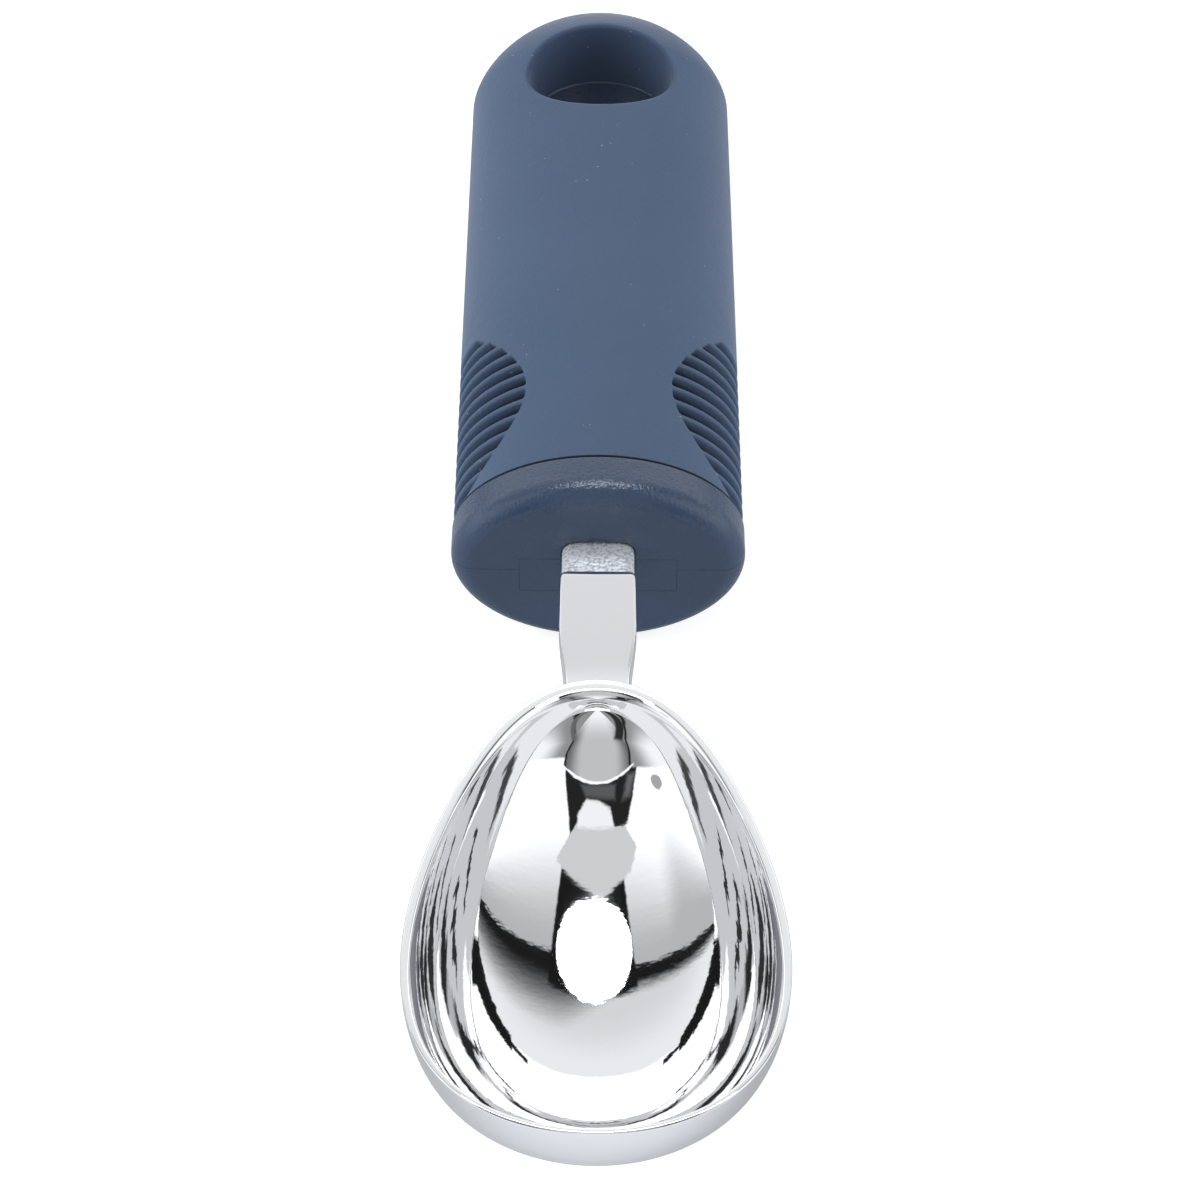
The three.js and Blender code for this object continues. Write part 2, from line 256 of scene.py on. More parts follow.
def dipped(point):
    """A point of the ball moved down its meridian, so that the inside starts below the round."""
    level = Vector((point.x, point.y, 0)).normalized() if point.xy.length > 0 else Vector((0, 1, 0))
    dip = math.asin(round_size(level) / (inner_egg.depth * swell(KEEL_CURVE, level.y)))
    turn = math.asin(min(-point.z, 1))
    turn += dip * max(1 - turn / DIP_FADE, 0) ** 2
    return level * math.cos(turn) - Vector((0, 0, math.sin(turn)))


bowl = half_ball()
outside = bowl.verts[:]
rim = {vert for edge in bowl.edges if edge.is_boundary for vert in edge.verts}
ring = sorted(rim, key=lambda vert: math.atan2(vert.co.y, vert.co.x))
spots = [Vector((vert.co.x, vert.co.y, 0)) for vert in ring]
copied = bmesh.ops.duplicate(bowl, geom=all_of(bowl))["geom"]
inside = [item for item in copied if isinstance(item, bmesh.types.BMVert)]
for vert in outside:
    vert.co = outer_egg.place(vert.co)
for vert in inside:
    vert.co = inner_egg.place(dipped(vert.co))
corners = [inner_egg.place(spot) for spot in spots]
walls = [inner_egg.place(dipped(spot)) for spot in spots]
flats = [
    corner + (outer_egg.place(spot) - corner).normalized() * round_size(spot)
    for corner, spot in zip(corners, spots)
]
for step in range(RIM_STEPS + 1):
    turn = math.pi / 2 * step / RIM_STEPS
    places = [
        corner + (flat - corner) * (1 - math.sin(turn)) + (wall - corner) * (1 - math.cos(turn))
        for corner, flat, wall in zip(corners, flats, walls)
    ]
    ring = extrude_ring(bowl, ring, places)
bmesh.ops.remove_doubles(bowl, verts=bowl.verts, dist=SAME_POINT)
bmesh.ops.recalc_face_normals(bowl, faces=bowl.faces)
in_plane = [
    edge for edge in bowl.edges if all(abs(vert.co.z - RIM_RISE) < SAME_POINT for vert in edge.verts)
]
outer_corner = [edge for edge in in_plane if edge.calc_face_angle(0) > 1]
bmesh.ops.bevel(
    bowl,
    geom=outer_corner,
    offset=OUTER_ROUND,
    segments=4,
    profile=0.5,
    affect="EDGES",
    material=-1,
)
print("bowl shell", len(bowl.faces), "faces, open edges", sum(edge.is_boundary for edge in bowl.edges))

# %% [markdown]
# The neck is cast in one with the bowl: a bar with a flat polished top, a round belly and soft edges, that
# narrows to a waist and then spreads into the bowl. Near the collar it is left as cast, a little smaller
# and grainy. Such a bar can be lofted from one ring of points: extrude the ring, move the new points to the
# next section, and repeat. The last ring stops in the middle of the bowl's wall, so nothing shows inside.

# %% Section of the neck
NECK_HALF_WIDTH = 4.2
NECK_TOP = 3.8
NECK_FOOT = -2.7
NECK_EDGE = 0.35
NECK_ROUND = 3.6
ROOT_EDGE = 1.3
SUPPORT = (0.03, 0.3, 0.7, 0.97)
EDGE_STEPS = 5
ROUND_STEPS = 10


def bar_section(top_half, foot_half, top_z, foot_z, edge, belly):
    """Points round a bar: flat top, soft upper edges and a round underside."""
    belly = min(belly, foot_half - edge, top_z - foot_z - 2 * edge)
    corners = (
        (foot_half - belly, foot_z + belly, belly, -90, ROUND_STEPS),
        (top_half - edge, top_z - edge, edge, 0, EDGE_STEPS),
        (edge - top_half, top_z - edge, edge, 90, EDGE_STEPS),
        (belly - foot_half, foot_z + belly, belly, 180, ROUND_STEPS),
    )
    arcs = []
    for x, z, radius, start, steps in corners:
        turns = [math.radians(start + 90 * step / steps) for step in range(steps + 1)]
        arcs.append([(x + radius * math.cos(turn), z + radius * math.sin(turn)) for turn in turns])
    points = []
    for arc, following in zip(arcs, arcs[1:] + arcs[:1]):
        points += arc
        (x0, z0), (x1, z1) = arc[-1], following[0]
        points += [(x0 + (x1 - x0) * part, z0 + (z1 - z0) * part) for part in SUPPORT]
    return points


# %% Sections of the neck and the root
ROOT_DEPTH = 2.9
ROOT_LENGTH = 4.5
ROOT_INSET = 0.2
ROOT_HIDDEN = 1.5
POLISH_START = ROOT_LENGTH + 0.02
ROOT_STATIONS = (0, 1.5, 3.0, POLISH_START, ROOT_LENGTH + ROOT_HIDDEN)
START_CORNER = 0.7
START_ROUND = 0.1
WAIST_START = 12.0
WAIST_HALF_WIDTH = 3.1
WAIST_SPREAD = 0.3
NECK_FALL = math.tan(math.radians(7))
NECK_RUN = 12.5
NECK_BELLY = 3.2
NECK_FLARE = 4.0
FLARE_RUN = 5.0
TRIM_START = 20.0
TRIM_STEPS = 16
NECK_STATIONS = (5.6, 7.5, 10, 12, 13, 14, 15, 16, 17, 18, 19, TRIM_START)


def ease(value, low, high):
    part = min(max((value - low) / (high - low), 0), 1)
    return part * part * (3 - 2 * part)


def neck_places(distance, trim=0.0, sink=0.0):
    """The polished neck's section at a distance in front of the collar."""
    end = NECK_LENGTH + NECK_RUN
    narrow = ease(distance, WAIST_START, NECK_LENGTH)
    into = min(max((distance - NECK_LENGTH + FLARE_RUN) / (2 * FLARE_RUN), 0), 1)
    flare = NECK_FLARE * into * into
    along = min(max((distance - WAIST_START) / (end - WAIST_START), 0), 1)
    top_half = NECK_HALF_WIDTH + (WAIST_HALF_WIDTH - NECK_HALF_WIDTH) * narrow + flare - trim
    foot_half = top_half + WAIST_SPREAD * narrow - flare / 2
    top_z = NECK_TOP - NECK_FALL * (distance - ROOT_LENGTH) + flare / 2 - sink
    foot_z = NECK_FOOT - NECK_BELLY * along * along + sink
    section = bar_section(top_half, foot_half, top_z, foot_z, NECK_EDGE, NECK_ROUND)
    return [Vector((x, -distance, z)) for x, z in section]


def root_places(distance, inset=ROOT_INSET):
    half = NECK_HALF_WIDTH - inset
    section = bar_section(half, half, NECK_TOP - inset, NECK_FOOT + inset, ROOT_EDGE, NECK_ROUND)
    return [Vector((x, -distance, z)) for x, z in section]


def into_wall(index):
    """How far along the neck one of its long lines meets the middle of the bowl's wall."""
    distance = TRIM_START
    while not wall_middle.holds(neck_places(distance)[index]) and distance < NECK_LENGTH + NECK_RUN:
        distance += 0.1
    return distance


def on_wall(spot):
    """The place in the middle of the bowl's back wall straight in front of a spot."""
    y = -TRIM_START
    while not wall_middle.holds(Vector((spot.x, y, spot.z))) and y > -NECK_LENGTH - NECK_RUN:
        y -= 0.05
    return Vector((spot.x, y, spot.z))


# %% Loft the root and the neck
root = bmesh.new()
ring = first_ring(root, root_places(-ROOT_DEPTH))
close_ring(root, ring)
for distance in ROOT_STATIONS:
    ring = extrude_ring(root, ring, root_places(distance))
close_ring(root, ring)

neck = bmesh.new()
ring = None
for degrees in (8, 22, 36, 50, 64, 78, 90):
    turn = math.radians(degrees)
    start = ROOT_LENGTH + START_CORNER * (1 - math.cos(turn))
    short = 1 - math.sin(turn)
    places = neck_places(start, START_CORNER * short, START_ROUND * short)
    if ring is None:
        ring = first_ring(neck, places)
        close_ring(neck, ring)
    else:
        ring = extrude_ring(neck, ring, places)
for distance in NECK_STATIONS:
    ring = extrude_ring(neck, ring, neck_places(distance))
ends = [into_wall(index) for index in range(len(ring))]
for step in range(1, TRIM_STEPS + 1):
    part = step / TRIM_STEPS
    places = [
        neck_places(TRIM_START + (end - TRIM_START) * part)[index] for index, end in enumerate(ends)
    ]
    ring = extrude_ring(neck, ring, places)
middle = sum((vert.co for vert in ring), Vector()) / len(ring)
spots = [vert.co - middle for vert in ring]
for part in (0.85, 0.7, 0.55, 0.4, 0.25, 0.1):
    ring = extrude_ring(neck, ring, [on_wall(middle + spot * part) for spot in spots])
close_ring(neck, ring)
print("neck enters the wall between", round(min(ends), 1), "and", round(max(ends), 1), "mm")

# %% Join neck and bowl
SHARP_METAL = 32
head = settle(bowl, "head", SHARP_METAL)
forms = [settle(neck, "neck_form", SHARP_METAL), settle(root, "root_form", SHARP_METAL)]
for form in forms:
    union = head.modifiers.new(form.name, "BOOLEAN")
    union.operation = "UNION"
    union.solver = "EXACT"
    union.object = form
bpy.context.view_layer.update()
joined = bpy.data.meshes.new_from_object(head.evaluated_get(bpy.context.evaluated_depsgraph_get()))
head.modifiers.clear()
head.data = joined
for form in forms:
    bpy.data.objects.remove(form)
joined_form = bmesh.new()
joined_form.from_mesh(joined)
for edge in joined_form.edges:
    edge.smooth = len(edge.link_faces) == 2 and edge.calc_face_angle(0) < math.radians(SHARP_METAL)
open_edges = sum(len(edge.link_faces) != 2 for edge in joined_form.edges)
joined_form.to_mesh(joined)
joined_form.free()
print("head", len(joined.polygons), "faces, open edges", open_edges)

# %% [markdown]
# The handle is an oval bar with a rounded tail and a round hole through it. A hole cut by a boolean leaves
# a ragged edge that can't be rounded, so the tail is drawn as rings round the hole instead: from the
# outline, over the crown, round the lip of the hole and down its wall. Only the upper half is drawn. A
# mirror gives the lower half, and the open front ring is then extruded towards the collar.

# %% Outline of the handle
HANDLE_LENGTH = 105.5
TAIL_LENGTH = 17.0
TAIL_START = HANDLE_LENGTH - TAIL_LENGTH
TAIL_SHOULDER = 0.27
TAIL_BLUNTNESS = 0.68
TAIL_CUT = 66.0
HOLE_Y = 84.0
HOLE_RADIUS = 8.5
HOLE_DRAFT = math.tan(math.radians(3))
AROUND = 256
TURNS = [2 * math.pi * step / AROUND for step in range(AROUND)]
SIDE_STEPS = 30
TAIL_STEPS = 34


def curve_point(first, second, third, fourth, part):
    rest = 1 - part
    return (
        rest ** 3 * first + 3 * rest * rest * part * second
        + 3 * rest * part * part * third + part ** 3 * fourth
    )


class HandleForm:
    """An oval bar with a rounded tail, of a given half width and half thickness."""

    def __init__(self, half_width, half_thickness, tail_length):
        self.half_width = half_width
        self.half_thickness = half_thickness
        self.tail_length = tail_length

    def tail(self, part):
        a, tip = self.half_width, TAIL_START + self.tail_length
        shoulder = TAIL_START + self.tail_length * TAIL_SHOULDER
        return Vector((
            curve_point(a, a, a * TAIL_BLUNTNESS, 0, part),
            curve_point(TAIL_START, shoulder, tip, tip, part),
        ))

    def width_at(self, y):
        if y <= TAIL_START:
            return self.half_width
        low, high = 0.0, 1.0
        for _ in range(40):
            middle = (low + high) / 2
            low, high = (middle, high) if self.tail(middle).y < y else (low, middle)
        return self.tail(low).x

    def height(self, x, y):
        left = max(self.width_at(y) ** 2 - x * x, 0)
        return self.half_thickness / self.half_width * math.sqrt(left)

    def oval(self, y, turn, scale=1.0):
        x, z = self.half_width * math.cos(turn), self.half_thickness * math.sin(turn)
        return Vector((x * scale, y, z * scale))

    def sunk(self, y, turn, depth):
        """A point of the section, pressed in by a depth that is the same on top and at the sides."""
        x = (self.half_width - depth) * math.cos(turn)
        return Vector((x, y, (self.half_thickness - depth) * math.sin(turn)))

    def border(self):
        """The upper half's edge: across the front at the cut, then round the tail's outline."""
        turns = [math.pi * step / (AROUND // 2) for step in range(AROUND // 2 + 1)]
        points = [self.oval(TAIL_CUT, turn) for turn in turns]
        side = [TAIL_CUT + (TAIL_START - TAIL_CUT) * step / SIDE_STEPS for step in range(1, SIDE_STEPS)]
        bend = [self.tail(step / TAIL_STEPS) for step in range(TAIL_STEPS + 1)]
        left = [(-self.half_width, y) for y in side] + [(-p.x, p.y) for p in bend]
        right = [(p.x, p.y) for p in reversed(bend[:-1])] + [(self.half_width, y) for y in reversed(side)]
        return points + [Vector((x, y, 0)) for x, y in left + right]


# %% Rings between the outline and the hole
CROWN_STEPS = 22


def hole_place(towards, radius):
    way = Vector((towards.x, towards.y - HOLE_Y)).normalized()
    return Vector((way.x * radius, HOLE_Y + way.y * radius))


def crown_rings(form, border, radii):
    """Rings from the border, which isn't among them, over the crown to the radii given round the hole."""
    rings = []
    for step in range(CROWN_STEPS - 1, -1, -1):
        part = math.sin(math.pi / 2 * step / CROWN_STEPS)
        places = []
        for edge, radius in zip(border, radii):
            near = hole_place(edge, radius)
            flat = near + (edge.xy - near) * part
            places.append(Vector((flat.x, flat.y, form.height(flat.x, flat.y))))
        rings.append(places)
    return rings


def hole_ring(border, radii, heights):
    flats = [hole_place(edge, radius) for edge, radius in zip(border, radii)]
    return [Vector((flat.x, flat.y, height)) for flat, height in zip(flats, heights)]


def mirror_half(bm):
    bmesh.ops.mirror(bm, geom=all_of(bm), matrix=Matrix.Identity(4), merge_dist=SAME_POINT, axis="Z")
    bmesh.ops.remove_doubles(bm, verts=bm.verts, dist=SAME_POINT)


def front_ring(bm, form):
    """The open ring at the cut, in order round the oval."""
    wanted = [form.oval(TAIL_CUT, turn) for turn in TURNS]
    open_verts = {vert for edge in bm.edges if edge.is_boundary for vert in edge.verts}
    return [min(open_verts, key=lambda vert: (vert.co - place).length_squared) for place in wanted]


# %% [markdown]
# The hard core carries the collar that shows in front of the grip and a ring, the eye, that shows as a band
# half-way down the hole. The rest of it hides inside the grip, so it is one plain bar there. The collar is
# made by extruding the front ring outwards, along, round its edge and in over the face, then down a shallow
# crescent dent above the root, and into the pocket that the root fills.

# %% Tail of the core
GRIP_HALF_WIDTH = 16.3
GRIP_HALF_THICKNESS = 11.0
GRIP_WALL = 2.4
MOULD_GAP = 0.3
EYE_HALF_THICKNESS = 2.0
EYE_CHAMFER = 0.15
HOLE_LINING = 1.6
EYE_RADIUS = HOLE_RADIUS + HOLE_LINING + MOULD_GAP


def shrunk_form(shrink):
    return HandleForm(GRIP_HALF_WIDTH - shrink, GRIP_HALF_THICKNESS - shrink, TAIL_LENGTH - shrink)


spine = shrunk_form(GRIP_WALL + MOULD_GAP)
spine_border = spine.border()


def all_round(value):
    return [value] * len(spine_border)


core = bmesh.new()
ring = first_ring(core, spine_border)
for places in crown_rings(spine, spine_border, all_round(EYE_RADIUS)):
    ring = extrude_ring(core, ring, places)
for radius, height in (
    (EYE_RADIUS, EYE_HALF_THICKNESS),
    (HOLE_RADIUS + EYE_CHAMFER, EYE_HALF_THICKNESS),
    (HOLE_RADIUS, EYE_HALF_THICKNESS - EYE_CHAMFER),
    (HOLE_RADIUS, 0),
):
    ring = extrude_ring(core, ring, hole_ring(spine_border, all_round(radius), all_round(height)))
mirror_half(core)
print("core's tail", len(core.faces), "faces")

# %% Rings of the collar
COLLAR_LENGTH = 6.3
COLLAR_HALF_WIDTH = 16.4
COLLAR_HALF_THICKNESS = 11.1
COLLAR_ROUND = 2.8
COLLAR_STEPS = 14
COLLAR_BACK_ROUND = 0.12
POCKET_GAP = 0.06
POCKET_DEPTH = 3.0
CRESCENT = 0.85
DENT_DEPTH = 0.3
SHARP_PLASTIC = 40
collar_form = HandleForm(COLLAR_HALF_WIDTH, COLLAR_HALF_THICKNESS, TAIL_LENGTH)


def collar_ring(y, inset):
    scale = 1 - inset / COLLAR_HALF_WIDTH
    return [collar_form.oval(y, turn, scale) for turn in TURNS]


def pocket_ring(y, grow, crescent=0.0):
    """The root's outline with a hair of room, met by rays from its middle, and more room above it."""
    middle = Vector((0, (NECK_TOP + NECK_FOOT) / 2))
    outline = [Vector((p.x, p.z)) - middle for p in root_places(0, ROOT_INSET - grow)]
    rays = sorted((math.atan2(p.y, p.x) % (2 * math.pi), p.length) for p in outline)
    rays = [(rays[-1][0] - 2 * math.pi, rays[-1][1])] + rays + [(rays[0][0] + 2 * math.pi, rays[0][1])]
    places = []
    for turn in TURNS:
        pairs = zip(rays, rays[1:])
        (t0, r0), (t1, r1) = next(pair for pair in pairs if pair[0][0] <= turn <= pair[1][0])
        reach = 1 / ((1 / r0) + (1 / r1 - 1 / r0) * (turn - t0) / max(t1 - t0, 1e-9))
        reach += crescent * max(math.sin(turn), 0) ** 3
        places.append(Vector((reach * math.cos(turn), y, middle.y + reach * math.sin(turn))))
    return places


# %% Extrude the collar
ring = front_ring(core, spine)
for y in (45, 25, COLLAR_LENGTH):
    ring = extrude_ring(core, ring, [spine.oval(y, turn) for turn in TURNS])
ring = extrude_ring(core, ring, collar_ring(COLLAR_LENGTH, COLLAR_BACK_ROUND + 0.1))
for part in (0.0, 0.5, 1.0):
    turn = math.pi / 2 * part
    back = COLLAR_LENGTH - COLLAR_BACK_ROUND * (1 - math.cos(turn))
    ring = extrude_ring(core, ring, collar_ring(back, COLLAR_BACK_ROUND * (1 - math.sin(turn))))
for y in (COLLAR_LENGTH - 0.4, 4.6, COLLAR_ROUND + 0.1):
    ring = extrude_ring(core, ring, collar_ring(y, 0))
for step in range(COLLAR_STEPS + 1):
    turn = math.pi / 2 * (1 - step / COLLAR_STEPS)
    y = COLLAR_ROUND * (1 - math.cos(turn))
    ring = extrude_ring(core, ring, collar_ring(y, COLLAR_ROUND * (1 - math.sin(turn))))
face_edge = collar_ring(0, COLLAR_ROUND + 0.15)
pocket_edge = pocket_ring(0, POCKET_GAP + 0.1, CRESCENT)
for part in (0, 0.5, 1):
    ring = extrude_ring(core, ring, [a.lerp(b, part) for a, b in zip(face_edge, pocket_edge)])
for y, crescent in ((0.1, CRESCENT - 0.08), (DENT_DEPTH, CRESCENT - 0.1), (DENT_DEPTH + 0.02, 0)):
    ring = extrude_ring(core, ring, pocket_ring(y, POCKET_GAP, crescent))
ring = extrude_ring(core, ring, pocket_ring(POCKET_DEPTH, POCKET_GAP))
close_ring(core, ring)
handle_core = settle(core, "core", SHARP_PLASTIC)

# %% [markdown]
# The soft grip is the same bar, one wall thicker, with a rounded lip where the hole opens. Its finger ribs
# are scallops cut round the bar, but only inside an oval patch on each side, and they end square to the
# surface. The rows of the mesh follow the scallops, and the columns are drawn together at the patch's edge,
# so that the ends of the ribs are clean and no boolean is needed.

# %% Tail of the grip
LIP_ROUND = 0.7
LIP_STEPS = 6
WALL_STEPS = 6
LINING_RADIUS = HOLE_RADIUS + HOLE_LINING
LEDGE_HEIGHT = EYE_HALF_THICKNESS + 0.05
skin = HandleForm(GRIP_HALF_WIDTH, GRIP_HALF_THICKNESS, TAIL_LENGTH)
bed = shrunk_form(GRIP_WALL)
skin_border, bed_border = skin.border(), bed.border()
mouths = []
for edge in skin_border:
    near = hole_place(edge, HOLE_RADIUS)
    mouths.append(HOLE_RADIUS + skin.height(near.x, near.y) * HOLE_DRAFT)

grip = bmesh.new()
ring = first_ring(grip, skin_border)
for places in crown_rings(skin, skin_border, [mouth + LIP_ROUND for mouth in mouths]):
    ring = extrude_ring(grip, ring, places)
for step in range(1, LIP_STEPS + 1):
    turn = math.pi / 2 * step / LIP_STEPS
    radii = [mouth + LIP_ROUND * (1 - math.sin(turn)) for mouth in mouths]
    flats = [hole_place(edge, radius) for edge, radius in zip(skin_border, radii)]
    heights = [skin.height(flat.x, flat.y) - LIP_ROUND * (1 - math.cos(turn)) for flat in flats]
    ring = extrude_ring(grip, ring, hole_ring(skin_border, radii, heights))
for step in range(1, WALL_STEPS + 1):
    part = step / WALL_STEPS
    lower = [height + (LEDGE_HEIGHT - height) * part for height in heights]
    radii = [HOLE_RADIUS + height * HOLE_DRAFT for height in lower]
    ring = extrude_ring(grip, ring, hole_ring(skin_border, radii, lower))
ledge = [LINING_RADIUS] * len(ring)
ring = extrude_ring(grip, ring, hole_ring(bed_border, ledge, [LEDGE_HEIGHT] * len(ring)))
bed_rings = crown_rings(bed, bed_border, ledge)
for places in reversed(bed_rings):
    ring = extrude_ring(grip, ring, places)
ring = extrude_ring(grip, ring, bed_border)
mirror_half(grip)
print("grip's tail", len(grip.faces), "faces")

# %% Finger ribs
FLUTE_PITCH = 2.33
FLUTE_HALF_WIDTH = 0.8
FLUTE_DEPTH = 1.6
CREST_ROUND = FLUTE_PITCH / 2 - FLUTE_HALF_WIDTH
FLUTE_COUNT = 12
PATCH_MIDDLE = 20.7
PATCH_HALF_LENGTH = 16.0
PATCH_RISE = 9.35
RIB_END = math.radians(1.3)
LEAST_PATCH = math.radians(14)
HALF_ROWS = (0.16, 0.48, 0.7, 0.8, 0.855, 0.965, 1.09)
FLUTE_ROWS = tuple(-row for row in reversed(HALF_ROWS)) + HALF_ROWS
FIRST_FLUTE = PATCH_MIDDLE - (FLUTE_COUNT - 1) / 2 * FLUTE_PITCH
QUARTER = AROUND // 4
EDGE_COLUMN = 41
END_COLUMNS = 2
EVEN_EDGE = math.pi / 2 * EDGE_COLUMN / QUARTER


def patch_edge(y):
    """How far round the bar, from its side, the ribbed patch reaches at a distance from the collar."""
    reach = 1 - ((y - PATCH_MIDDLE) / PATCH_HALF_LENGTH) ** 2
    if reach <= 0:
        return 0.0
    return math.asin(PATCH_RISE * math.sqrt(reach) / GRIP_HALF_THICKNESS)


def column_turn(step, y, gathered):
    """Where a column of the mesh goes round the bar, drawn to the patch's edge where it is gathered."""
    quarter, within = divmod(step, QUARTER)
    flipped = quarter % 2 == 1
    count = QUARTER - within if flipped else within
    edge = EVEN_EDGE + (max(patch_edge(y), LEAST_PATCH) - EVEN_EDGE) * gathered
    end = RIB_END * gathered + (math.pi / 2 / QUARTER) * END_COLUMNS * (1 - gathered)
    if count <= EDGE_COLUMN:
        turn = edge * count / EDGE_COLUMN
    elif count <= EDGE_COLUMN + END_COLUMNS:
        turn = edge + end * (count - EDGE_COLUMN) / END_COLUMNS
    else:
        left = QUARTER - EDGE_COLUMN - END_COLUMNS
        turn = edge + end + (math.pi / 2 - edge - end) * (count - EDGE_COLUMN - END_COLUMNS) / left
    return (quarter + 1) * math.pi / 2 - turn if flipped else quarter * math.pi / 2 + turn


def flute_depth(y, turn):
    from_side = abs((turn + math.pi / 2) % math.pi - math.pi / 2)
    edge = patch_edge(y)
    inside = 1 - ease(from_side, edge, edge + RIB_END)
    number = min(max(round((y - FIRST_FLUTE) / FLUTE_PITCH), 0), FLUTE_COUNT - 1)
    off = abs(y - FIRST_FLUTE - number * FLUTE_PITCH)
    if off >= FLUTE_PITCH / 2 or inside <= 0:
        return 0.0
    if off >= FLUTE_HALF_WIDTH:
        share = (FLUTE_PITCH / 2 - off) / CREST_ROUND
        return inside * CREST_ROUND * (1 - math.sqrt(max(1 - share * share, 0)))
    share = off / FLUTE_HALF_WIDTH
    return inside * (CREST_ROUND + (FLUTE_DEPTH - CREST_ROUND) * math.sqrt(1 - share * share))


# %% Grip from the tail to the collar
GRIP_START = COLLAR_LENGTH + MOULD_GAP
GRIP_EDGE = 0.2
SHARP_RUBBER = 55
flute_rows = [
    FIRST_FLUTE + number * FLUTE_PITCH + row
    for number in range(FLUTE_COUNT)
    for row in FLUTE_ROWS
]
plain_rows = [(63, 0), (60, 0), (57, 0), (54, 0), (51, 0), (48, 0), (45, 0.1), (42.5, 0.3), (40, 0.6)]
plain_rows += [(38, 0.85), (36.5, 1), (35, 1)]
rows = plain_rows + [(y, 1) for y in reversed(flute_rows)] + [(GRIP_START + GRIP_EDGE, 1)]
ring = front_ring(grip, skin)
for y, gathered in rows:
    places = []
    for step in range(AROUND):
        turn = column_turn(step, y, gathered)
        places.append(skin.sunk(y, turn, flute_depth(y, turn)))
    ring = extrude_ring(grip, ring, places)
for part in (1 / 3, 2 / 3, 1):
    turn = math.pi / 2 * part
    y = GRIP_START + GRIP_EDGE * (1 - math.sin(turn))
    scale = 1 - GRIP_EDGE * (1 - math.cos(turn)) / GRIP_HALF_WIDTH
    turns = [column_turn(step, rows[-1][0], 1) for step in range(AROUND)]
    ring = extrude_ring(grip, ring, [skin.oval(y, turn, scale) for turn in turns])
for y in (GRIP_START, 30, TAIL_CUT):
    ring = extrude_ring(grip, ring, [bed.oval(y, turn) for turn in TURNS])
handle_grip = settle(grip, "grip", SHARP_RUBBER)

# %% [markdown]
# Each piece rides on the scoop's only body and stands for one solid of the frame, which is hidden. The
# slot listed beside it names a finish of the record but is not used.

# %% Tie the pieces to the frame
for piece, node, slot in (
    (head, "scoop_head", "polished_chrome"),
    (handle_core, "handle_core", "hard_plastic"),
    (handle_grip, "grip_sleeve", "soft_grip"),
):
    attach(piece, "root")
    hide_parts(node)
    print(piece.name, "stands for", node)

# %% [markdown]
# Finishes are wired from nodes, and hundreds of wires are hard to read. So a value on its way through a node
# tree is kept as a Wire here: write a sum with it, and the math node for that sum is made. A few helpers do
# the rest. They feed a socket, ease a value between two limits, lay one grey or colour over another by a
# mask, and give noise, places and rays. Patterns are read in object coordinates, so they stay on the piece.

# %% A value that can be reckoned with


def feed(socket, value):
    """Sets a socket to a number or a colour, or wires it up."""
    if isinstance(value, Wire):
        value.tree.links.new(value.socket, socket)
    else:
        socket.default_value = value


def calc(tree, operation, *values):
    node = tree.nodes.new("ShaderNodeMath")
    node.operation = operation
    for socket, value in zip(node.inputs, values):
        feed(socket, value)
    return Wire(tree, node.outputs[0])


class Wire:
    """An output in a node tree. Sums and comparisons with it become math nodes."""

    def __init__(self, tree, socket):
        self.tree, self.socket = tree, socket

    def calc(self, operation, *values):
        return calc(self.tree, operation, self, *values)

    def __add__(self, other):
        return self.calc("ADD", other)

    def __sub__(self, other):
        return self.calc("SUBTRACT", other)

    def __rsub__(self, other):
        return calc(self.tree, "SUBTRACT", other, self)

    def __mul__(self, other):
        return self.calc("MULTIPLY", other)

    def __truediv__(self, other):
        return self.calc("DIVIDE", other)

    def __abs__(self):
        return self.calc("ABSOLUTE")

    def __gt__(self, other):
        return self.calc("GREATER_THAN", other)

    def __lt__(self, other):
        return self.calc("LESS_THAN", other)


# %% Helpers for masks and colours


def ramp(value, low, high):
    """Eases from 0, where the value is at the low limit, to 1 at the high one."""
    node = value.tree.nodes.new("ShaderNodeMapRange")
    node.interpolation_type = "SMOOTHSTEP"
    for name, part in (("Value", value), ("From Min", low), ("From Max", high)):
        feed(node.inputs[name], part)
    return Wire(value.tree, node.outputs["Result"])


def paint(under, over, mask):
    """One grey laid over another where the mask is 1."""
    node = mask.tree.nodes.new("ShaderNodeMix")
    for place, value in ((0, mask), (2, under), (3, over)):
        feed(node.inputs[place], value)
    return Wire(mask.tree, node.outputs[0])


def tint(under, over, mask):
    """The same with colours."""
    node = mask.tree.nodes.new("ShaderNodeMix")
    node.data_type = "RGBA"
    for place, value in ((0, mask), (6, under), (7, over)):
        feed(node.inputs[place], value)
    return Wire(mask.tree, node.outputs[2])


def linear(red, green, blue):
    """A colour as a screen shows it, 0 to 255, turned into light."""
    parts = [value / 255 for value in (red, green, blue)]
    return tuple(p / 12.92 if p < 0.04045 else ((p + 0.055) / 1.055) ** 2.4 for p in parts) + (1.0,)


# %% Helpers for places, rays and noise


def spot_of(tree, kind="Object"):
    """The x, y and z of the place that is being coloured."""
    node = tree.nodes.new("ShaderNodeSeparateXYZ")
    tree.links.new(tree.nodes.new("ShaderNodeTexCoord").outputs[kind], node.inputs[0])
    return [Wire(tree, output) for output in node.outputs]


def ray_of(tree, name):
    """Something about the ray that looks at the place, such as how often it was mirrored."""
    return Wire(tree, tree.nodes.new("ShaderNodeLightPath").outputs[name])


def reach_of(a, b):
    """How far off a point is that lies a one way and b square to it."""
    return (a * a + b * b).calc("SQRT")


